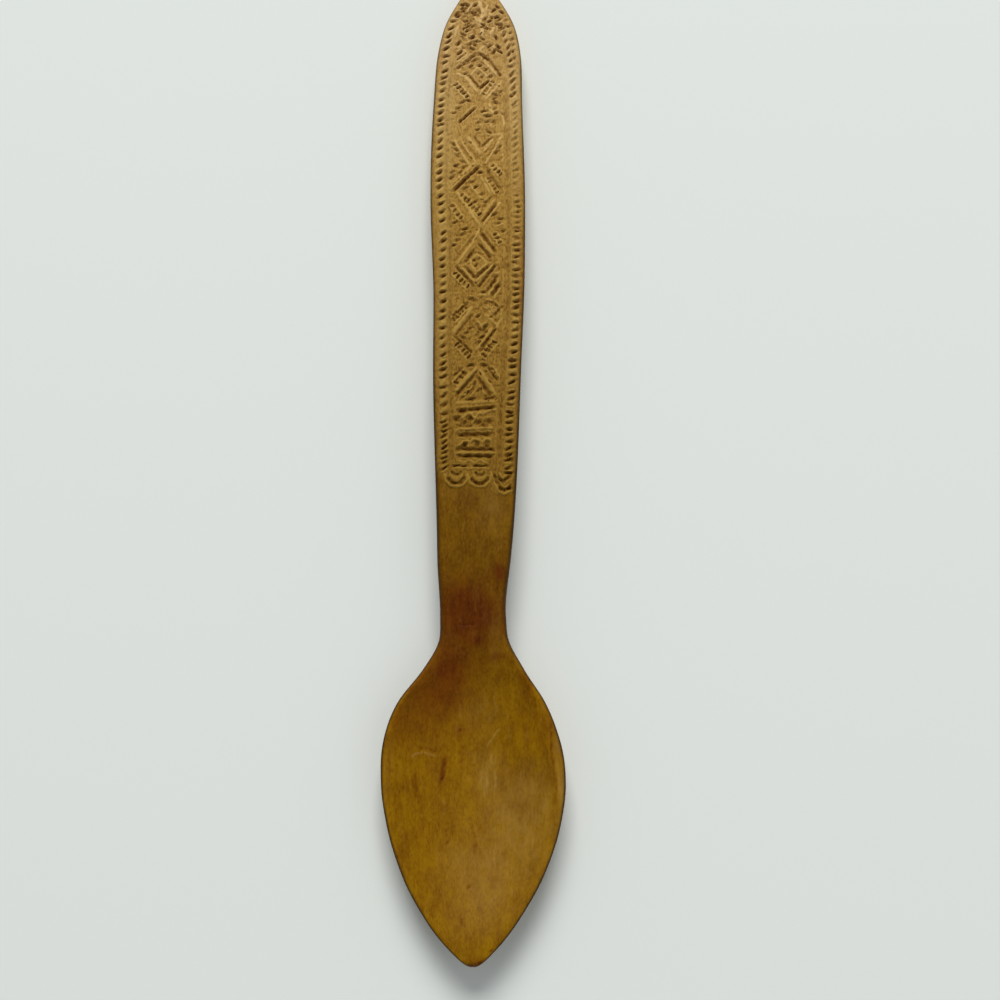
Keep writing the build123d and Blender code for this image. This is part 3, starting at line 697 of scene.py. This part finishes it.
# %% Neck
NECK_ROWS = 90
NECK_SIZE, NECK_HIGH = 8, 0.05
b = np.linspace(WAIST, FOOT, NECK_ROWS)
x, z = rings(b)
inside = np.sin(np.pi * (b - WAIST) / (FOOT - WAIST))[:, None]
along = b[:, None] * np.ones(ACROSS)
z[:, face] += ripple(x[:, face], along, NECK_SIZE, NECK_HIGH) * inside
neck = skin("plain_neck", b, x, z, finish_marks(b, x, z, np.zeros_like(x)))

# %% [markdown]
# The hollow of the bowl was cut with a bent knife. It keeps a narrow rim, wider on the right
# where a flat was left, is deepest at the widest place, and runs out softly towards the neck. A
# sunk ellipsoid would be simpler, but it would not follow the pointed outline, so the depth is a
# formula of how far a point lies from the middle, as a share of the way to the rim.

# %% The hollow
HOLLOW_FROM, HOLLOW_TO, HOLLOW_DEEP = 2.6, 67.0, 6.0
RIM = [(0, 1.6), (8, 1.1), (20, 0.8), (45, 0.8), (58, 1.0), (WAIST, 1.4)]
FLAT_PLACE, FLAT_LONG, FLAT_WIDE = 42.0, 9.0, 1.5
LEAST_INNER = 0.5
END_POWER, SIDE_POWER, FLOOR_POWER = 6, 2.2, 1.15


def hollow(x, b):
    half, sway = smooth(HALF_WIDTH, b)[:, None], smooth(SWAY, b)[:, None]
    rim = between(RIM, b)[:, None]
    right_rim = rim + FLAT_WIDE * np.exp(-(((b - FLAT_PLACE) / FLAT_LONG) ** 2))[:, None]
    reach = np.where(b < WIDEST, WIDEST - HOLLOW_FROM, HOLLOW_TO - WIDEST)
    share = clamp(np.abs(b - WIDEST) / reach)
    deep = HOLLOW_DEEP * np.cos(np.pi / 2 * share) * (1 - share**END_POWER)
    inner = np.maximum(half - np.where(x > sway, right_rim, rim), LEAST_INNER)
    across = clamp(np.abs(x - sway) / inner)
    return deep[:, None] * (1 - across**SIDE_POWER) ** FLOOR_POWER


deepest = hollow(np.zeros((1, 1)), np.array([WIDEST])).item()
print("deepest place of the hollow:", round(deepest, 1), "mm")

# %% [markdown]
# Old use left dents, scratches and rubbed strokes in the bowl: a dark nick, a pale arc with a
# dark one over it, a fine line along the flat of the rim, and many faint strokes along the
# grain. They are shallow and without lips, because the wood was pressed and not cut. The same
# depths, exaggerated, tell the finish where dirt gathered and where the wood was rubbed pale.

# %% Dents in the bowl
# A dent is its width, its depth and the points that it runs through.
DENTS = [(1.4, 0.18, (-6.2, 41.9), (-7.1, 36.2)), (1.2, 0.22, (-6.6, 38.4), (-7.1, 36.4)),
         (1.0, 0.16, (-11.7, 43.4), (-10.8, 43.5)), (0.8, 0.1, (-10.0, 43.5), (-7.8, 42.5)),
         (1.1, 0.1, (-12.4, 38.6), (-12.1, 33.4)), (0.8, 0.1, (-17.8, 41.8), (-17.5, 38.1)),
         (0.7, 0.13, (16.2, 50.4), (16.2, 47), (16.1, 42.9)),
         (1.0, 0.09, (16.1, 42.9), (16.7, 39.4), (17.1, 34.5), (16.6, 31.6)),
         (1.0, 0.1, (-0.6, 27.7), (0.2, 24.7), (0.5, 22.9)), (0.8, 0.08, (-2.4, 10.4), (-2.4, 7.9)),
         (0.6, 0.1, (-3.4, 69.3), (-0.2, 69.1)), (0.8, 0.17, (-1.0, 0.3), (0.8, 0.45), (2.7, 1.7)),
         (0.8, 0.24, (3.5, 3.0), (4.0, 3.5))]
dents = []
for wide, deep, *run in DENTS:
    dents += line(*run, width=wide, deep=deep)
for x0, b0 in ((-3.3, 47.1), (-3.0, 40.8), (-5.7, 24.1), (-1.2, 15.2)):
    dents += line((x0, b0 - 0.4), (x0 + 0.3, b0 + 0.4), deep=0.16)
print(len(dents), "dark dents")

# %% [markdown]
# Rubbing leaves pale marks beside the dark ones. They are drawn as very low ridges, a few
# hundredths of a millimetre high, which no light would show. What shows is the paler colour that
# the finish gives to whatever stands up.

# %% Rubbed strokes in the bowl
STROKES = 60
dents += ridge((-13.2, 41.6), (-12.3, 42.5), (-10.9, 42.6), (-9.4, 42.2), (-8.1, 41.8), width=0.7, high=0.03)
dents += ridge((2.6, 43.9), (3.7, 45.4), (5.3, 47.6), width=0.6, high=0.035)
for x0, b0, b1 in ((2.5, 38.5, 35.2), (3.5, 42.5, 40), (4.3, 38.9, 34.8), (1.3, 39, 36)):
    dents += ridge((x0, b0), (x0 + 0.2, b1), width=0.9, high=0.025)
for _ in range(STROKES):
    x0, b0 = hand.normal(3, 5), hand.uniform(27, 52)
    long, deep = hand.uniform(1.5, 4), hand.choice([0.03, -0.012])
    dents += line((x0, b0), (x0 + hand.normal(0, 0.25), b0 + long), width=0.9, deep=deep)
print(len(dents), "dents and strokes")

# %% [markdown]
# The bowl. Its rings lie closer together at the tip, where the outline turns fastest, and its
# face is finer across than that of the handle, because it is nearly twice as wide.

# %% Bowl
BOWL_ACROSS = 180
TIP_ROWS, TIP_START, BOWL_ROWS = 20, 0.12, 330
HOLLOW_SIZE, HOLLOW_HIGH, HOLLOW_EDGE = 13, 0.07, 0.5
DENT_COLOUR = 2.2
tip_places = END_ROUND * (1 - np.cos(np.linspace(TIP_START, np.pi / 2, TIP_ROWS)))
b = np.concatenate([tip_places, np.linspace(END_ROUND, WAIST, BOWL_ROWS)[1:]])
x, z = rings(b, across=BOWL_ACROSS)
face = slice(0, BOWL_ACROSS)
along = b[:, None] * np.ones(BOWL_ACROSS)
dented = np.zeros_like(x)
dented[:, face] = knife(x[:, face], along, dents, lip=0.0)
sunk = hollow(x[:, face], b)
knifed = ripple(x[:, face], along, HOLLOW_SIZE, HOLLOW_HIGH) * clamp(sunk - HOLLOW_EDGE)
z[:, face] -= sunk + dented[:, face] - knifed
bowl = skin("hollow_bowl", b, x, z, finish_marks(b, x, z, DENT_COLOUR * dented))

# %% [markdown]
# The wood is a pale, close-grained hardwood such as sycamore, gone brown with age. Colours are
# written as sRGB hex values, as a colour picker gives them, and one function turns them into the
# linear values that Blender works with. One more function adds a node with its settings and
# links, which keeps a long node tree readable.

# %% Colour and node helpers
def linear(code):
    parts = [int(code[i:i + 2], 16) / 255 for i in (1, 3, 5)]
    return tuple(c / 12.92 if c <= 0.04045 else ((c + 0.055) / 1.055) ** 2.4 for c in parts) + (1.0,)


def add(tree, kind, links, **settings):
    made = tree.nodes.new("ShaderNode" + kind)
    for key, value in settings.items():
        setattr(made, key, value)
    for socket, source in links.items():
        if isinstance(source, bpy.types.NodeSocket):
            tree.links.new(source, made.inputs[socket])
        else:
            made.inputs[socket].default_value = source
    return made


print("aged sycamore in linear values:", [round(c, 3) for c in linear("#B48A50")])

# %% [markdown]
# The finish. Sycamore has fine, long fibres, and rays that show as small flecks. Left dry and
# cut with a knife it is pale and matt. Its cuts are painted darker, partly as dirt and partly as
# painted shade, and its ridges paler, partly as wear and partly as painted highlight. Oiled and
# rubbed by use it turns ochre to red brown, with brushed-looking strokes along the grain and a
# soft sheen. A photo texture would carry its own light, so colour is laid on in thin layers
# instead, as a stain is.
# A layer is what drives it, from and to which value, its most, how it mixes, its colour, and for
# some what breaks it up, which leaves a quarter of its strength in the gaps.

# %% Grain and layers of colour
# Width and length of each pattern in mm. Real fibres are near 0.03 mm wide and pores 0.1 mm, but a
# pixel of the picture is about 0.2 mm, so both are drawn coarser.
GRAIN = {"streak": (0.9, 14.0), "fibre": (0.25, 5.0), "cloud": (6.0, 14.0), "patch": (3.0, 4.5),
         "mottle": (1.6, 2.6), "brush": (0.8, 5.0), "speck": (0.4, 0.9)}
DRY = "#BE9857"
DRY_LAYERS = [("streak", 0.40, 0.70, 0.5, "MULTIPLY", "#D9CDB4"),
              ("mottle", 0.45, 0.75, 0.6, "MULTIPLY", "#CDBB96"),
              ("speck", 0.48, 0.72, 0.9, "MULTIPLY", "#B89E70"),
              ("speck", 0.48, 0.28, 0.4, "MIX", "#D8B474"),
              ("stain", 0, 1, 0.6, "MULTIPLY", "#DCB4A0", "cloud"),
              # Painted highlight on the two bands along the handle's edges.
              ("painted_highlight", 0, 1, 0.35, "MIX", "#CAAE78"),
              # Cuts painted darker, partly as dirt and partly as painted shade; ridges painted paler, partly
              # as wear and partly as painted highlight.
              ("cut", 0.2, 1.0, 0.9, "MULTIPLY", "#8C6A40"),
              ("cut", -0.02, -0.35, 0.6, "MIX", "#E6C284"),
              # The dry wood is painted darker from the end of the handle towards the foot.
              ("along", 0.10, 0.055, 1.0, "MULTIPLY", "#F3EDC8"),
              ("along", 0.08, -0.02, 1.0, "MULTIPLY", "#BAB07A")]
OILED = "#7C5600"
OILED_LAYERS = [("along", -0.046, -0.058, 1.0, "MIX", "#976C00"),
                ("along", -0.066, -0.086, 1.0, "MIX", "#926900"),
                ("streak", 0.42, 0.70, 0.3, "MULTIPLY", "#D8CCA0"),
                ("cloud", 0.40, 0.65, 0.5, "MULTIPLY", "#DECFA0"),
                ("patch", 0.42, 0.62, 0.6, "MULTIPLY", "#D8C698"),
                ("brush", 0.48, 0.70, 0.35, "MULTIPLY", "#C4AA7C", "cloud"),
                ("speck", 0.48, 0.72, 0.6, "MULTIPLY", "#C2AC7C"),
                ("speck", 0.46, 0.28, 0.24, "MIX", "#A27C30", "patch"),
                ("stain", 0, 1, 0.84, "MULTIPLY", "#CA82A8"),
                # Painted highlight on the bowl, with paler brush strokes inside it.
                ("painted_highlight", 0, 1, 0.5, "MIX", "#9C7834", "mottle"),
                ("brush", 0.46, 0.28, 0.3, "MIX", "#A8843C", "painted_highlight"),
                ("cut", 0.05, 1.0, 0.9, "MULTIPLY", "#B05438"),
                ("cut", -0.02, -0.25, 0.5, "MIX", "#B8944E")]
LAST_LAYERS = [("fibre", 0.58, 0.80, 0.4, "MULTIPLY", "#C8B08A"),
               # Dark upper edges, partly dirt and partly painted shade on the rounded edges.
               ("edge", 0.05, 0.7, 0.6, "MIX", "#3C2810", "streak"),
               ("edge", 0.25, 0.8, 0.85, "MIX", "#2C1C0C")]
GAP_FROM, GAP_TO, GAP_LEAST = 0.3, 0.6, 0.25


def paint(tree, colour, layers, source):
    for key, low, high, most, how, code, *breaker in layers:
        share = add(tree, "MapRange", {0: source[key], 1: low, 2: high, 4: most}).outputs[0]
        if breaker:
            inputs = {0: source[breaker[0]], 1: GAP_FROM, 2: GAP_TO, 3: GAP_LEAST}
            patchy = add(tree, "MapRange", inputs).outputs[0]
            share = add(tree, "Math", {0: share, 1: patchy}, operation="MULTIPLY").outputs[0]
        inputs = {0: share, 6: colour, 7: linear(code)}
        colour = add(tree, "Mix", inputs, data_type="RGBA", blend_type=how).outputs[2]
    return colour


print("layers of colour:", len(DRY_LAYERS + OILED_LAYERS + LAST_LAYERS))

# %% [markdown]
# Handle, neck and bowl are one piece of wood, so both finishes come from one function and share
# the grain, and the mark stored on the mesh says how oiled each point is. Colour, roughness and
# relief follow it: knife-cut wood scatters light from torn fibres and looks chalky, and rubbed,
# oiled wood is closed and shows a faint, wide gloss. Wood's index of refraction is about 1.5.

# %% Sycamore, knife-cut and oiled
DRY_ROUGH, OILED_ROUGH, ROUGH_SPREAD = 0.70, 0.38, 0.16
TORN_RELIEF, OILED_RELIEF, FINE_SHARE = 0.14, 0.2, 0.5
GRAIN_DETAIL, GRAIN_CONTRAST = 4.0, 0.6
WOOD_IOR, GLOSS = 1.5, 0.06


def sycamore(name):
    material = bpy.data.materials.new(name)
    material.use_nodes = True
    tree = material.node_tree
    shader = tree.nodes["Principled BSDF"]
    place = add(tree, "TexCoord", {}).outputs["Object"]
    source = {"along": add(tree, "SeparateXYZ", {0: place}).outputs["Y"]}
    for key in ("oiled", "cut", "edge", "stain", "painted_highlight"):
        source[key] = add(tree, "Attribute", {}, attribute_name=key).outputs["Fac"]
    for key, (wide, long) in GRAIN.items():
        per_metre = (1 / (wide * MM), 1 / (long * MM), 1 / (wide * MM))
        scaled = add(tree, "VectorMath", {0: place, 1: per_metre}, operation="MULTIPLY").outputs[0]
        inputs = {"Vector": scaled, "Scale": 1.0, "Detail": GRAIN_DETAIL, "Roughness": GRAIN_CONTRAST}
        source[key] = add(tree, "TexNoise", inputs).outputs["Fac"]
    dry = paint(tree, linear(DRY), DRY_LAYERS, source)
    oiled = paint(tree, linear(OILED), OILED_LAYERS, source)
    colour = add(tree, "Mix", {0: source["oiled"], 6: dry, 7: oiled}, data_type="RGBA").outputs[2]
    tree.links.new(paint(tree, colour, LAST_LAYERS, source), shader.inputs["Base Color"])
    least_rough = add(tree, "MapRange", {0: source["oiled"], 3: DRY_ROUGH, 4: OILED_ROUGH}).outputs[0]
    inputs = {0: source["mottle"], 1: ROUGH_SPREAD, 2: least_rough}
    rough = add(tree, "Math", inputs, operation="MULTIPLY_ADD")
    tree.links.new(rough.outputs[0], shader.inputs["Roughness"])
    height = source["mottle"]
    for key in ("fibre", "speck"):
        inputs = {0: source[key], 1: FINE_SHARE, 2: height}
        height = add(tree, "Math", inputs, operation="MULTIPLY_ADD").outputs[0]
    share = add(tree, "MapRange", {0: source["oiled"], 3: 1.0, 4: OILED_RELIEF}).outputs[0]
    height = add(tree, "Math", {0: height, 1: share}, operation="MULTIPLY").outputs[0]
    bump = add(tree, "Bump", {"Height": height, "Strength": 1.0, "Distance": TORN_RELIEF * MM})
    tree.links.new(bump.outputs[0], shader.inputs["Normal"])
    shader.inputs["IOR"].default_value = WOOD_IOR
    shader.inputs["Specular IOR Level"].default_value = GLOSS
    print(material.name, "nodes:", len(tree.nodes))
    return material


knife_cut = sycamore("sycamore_knife_cut_dry")
oiled_smooth = sycamore("sycamore_oiled_rubbed")

# %% [markdown]
# Each skin takes the place of its solid, which is hidden, gets its material and rides on the
# spoon's one body. The solids could be kept and given a material, but their faces are plain, so
# all three are replaced.

# %% Put the pieces in place of the solids
places = ((handle, "handle", "dry_wood", knife_cut), (neck, "neck", "oiled_wood", oiled_smooth),
          (bowl, "bowl", "oiled_wood", oiled_smooth))
for piece, node, slot, material in places:
    piece.data.materials.append(material)
    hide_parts(node)
    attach(piece, "root")
print("pieces in place:", [o.name for o in (handle, neck, bowl)])

# %% [markdown]
# A plain pale floor. It is a broad sheet of paper with an even, matt finish that holds the soft
# shadow. One large plane is enough, because the picture never shows its edge. It lies a hair under
# the spoon, so that the two never share a face.

# %% Floor
FLOOR_SIZE, FLOOR_DROP = 6.0, 0.05 * MM
bpy.ops.mesh.primitive_plane_add(size=FLOOR_SIZE, location=(0, 0, -FLOOR_DROP))
floor = bpy.context.object
floor.name = "floor"
paper = bpy.data.materials.new("matt_paper_sheet")
paper.use_nodes = True
paper.node_tree.nodes["Principled BSDF"].inputs["Base Color"].default_value = linear("#E7EBE5")
paper.node_tree.nodes["Principled BSDF"].inputs["Roughness"].default_value = 0.9
floor.data.materials.append(paper)
print("floor ready")

# %% [markdown]
# Light. A wide lamp beyond the end of the handle rakes along the face, so that each cut has a
# dark upper wall and a bright lower one. A sun lamp would do the same with hard shadows. A wide
# area lamp keeps them soft, and a pale world fills them.

# %% Lamps and world
def lamp(name, place, aim, size, power):
    light = bpy.data.lights.new(name, "AREA")
    light.size, light.energy = size, power
    made = bpy.data.objects.new(name, light)
    made.location = place
    dx, dy, dz = np.array(aim) - np.array(place)
    made.rotation_euler = (math.atan2(math.hypot(dx, dy), -dz), 0, math.atan2(-dx, dy))
    bpy.context.scene.collection.objects.link(made)


lamp("key", place=(-0.1, 2.4, 2.2), aim=(0, 0, 0), size=1.6, power=91)
lamp("fill", place=(0.5, -0.5, 0.9), aim=(0, -0.03, 0), size=0.9, power=1.0)
world = bpy.data.worlds.new("pale_room")
world.use_nodes = True
world.node_tree.nodes["Background"].inputs["Color"].default_value = linear("#D9DDE2")
world.node_tree.nodes["Background"].inputs["Strength"].default_value = 0.42
bpy.context.scene.world = world
bpy.context.scene.view_settings.view_transform = "Standard"

# %% [markdown]
# The camera stands over the bowl and looks a little up the handle, as the photograph does, with
# the end of the handle just outside the picture. Its place was found by lining up the outline of
# the spoon, and the tilt by lining up the carving.

# %% Camera
camera = bpy.data.objects.new("camera", bpy.data.cameras.new("camera"))
camera.data.lens, camera.data.sensor_width = 43.2, 36.0
camera.data.clip_start = 0.01
camera.location = (5.45 * MM, -76.9 * MM, 265.3 * MM)
camera.rotation_euler = (math.radians(13.09), 0, 0)
bpy.context.scene.collection.objects.link(camera)
bpy.context.scene.camera = camera
print("camera lens:", round(camera.data.lens, 1), "mm")
